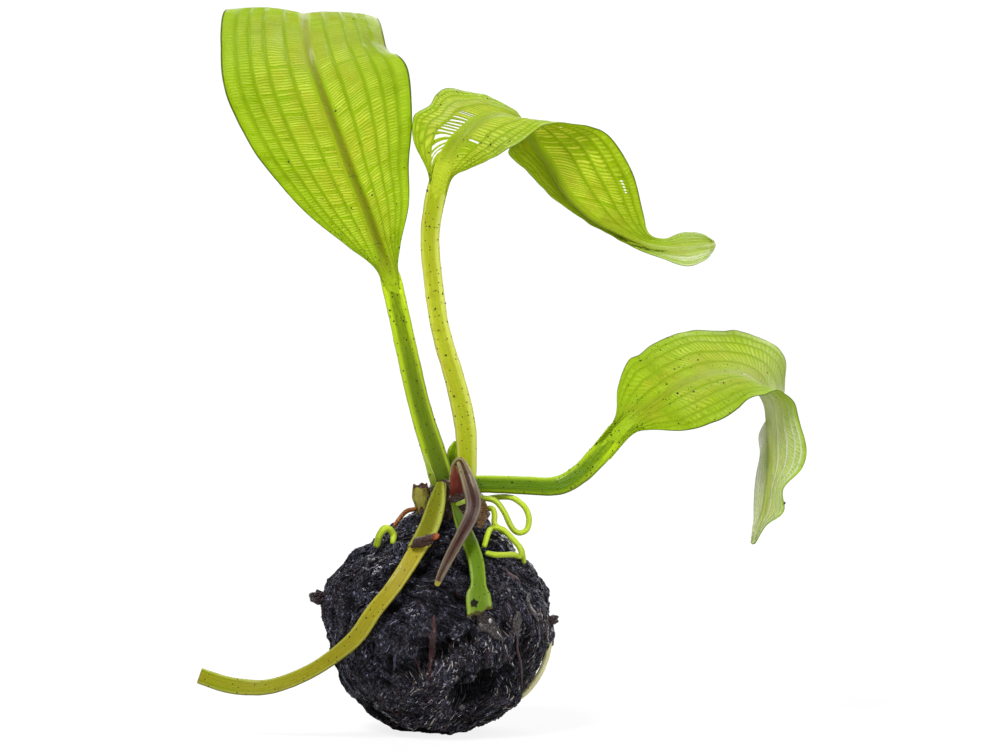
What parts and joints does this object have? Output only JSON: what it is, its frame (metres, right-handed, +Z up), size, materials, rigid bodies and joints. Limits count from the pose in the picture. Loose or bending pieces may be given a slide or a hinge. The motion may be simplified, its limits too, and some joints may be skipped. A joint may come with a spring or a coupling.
{
  "type": "madagascar lace plant",
  "caption": "Young madagascar lace plant with arching ribbed leaves and cut stalks, growing from a tuber in a ball of wet peat that it stands on.",
  "frame": {"origin": "middle of the peat ball's flattened underside, where the plant stands", "axes": "+Z up, -Y the front that the picture shows, +X to the side of the low hanging leaf"},
  "size_m": [0.132, 0.0642, 0.1576],
  "materials": {
    "peat": "satin",
    "tuber": "matte",
    "leaf": "satin",
    "stalk": "satin",
    "old_stalk": "satin",
    "young_leaf": "satin",
    "bud": "satin",
    "root": "satin",
    "husk": "matte",
    "bark": "matte"
  },
  "bodies": {
    "root": {"peat_ball": "peat", "tuber": "tuber", "left_leaf_stalk": "stalk", "left_leaf_blade": "leaf", "middle_leaf_stalk": "stalk", "middle_leaf_blade": "leaf", "right_leaf_stalk": "stalk", "right_leaf_blade": "leaf", "yellow_cut_stalk": "old_stalk", "green_cut_stalk": "stalk", "purple_young_leaf": "young_leaf", "red_bud": "bud", "green_shoot": "stalk", "old_stalk_stub": "old_stalk", "brown_husk": "husk", "root_loop": "root", "root_bent": "root", "root_level": "root", "root_short": "root", "root_curl": "root", "orange_rootlet": "husk", "pale_side_root": "root", "bark_chip": "bark", "bark_flake_left": "bark", "bark_flake_right": "bark"}
  },
  "joints": []
}
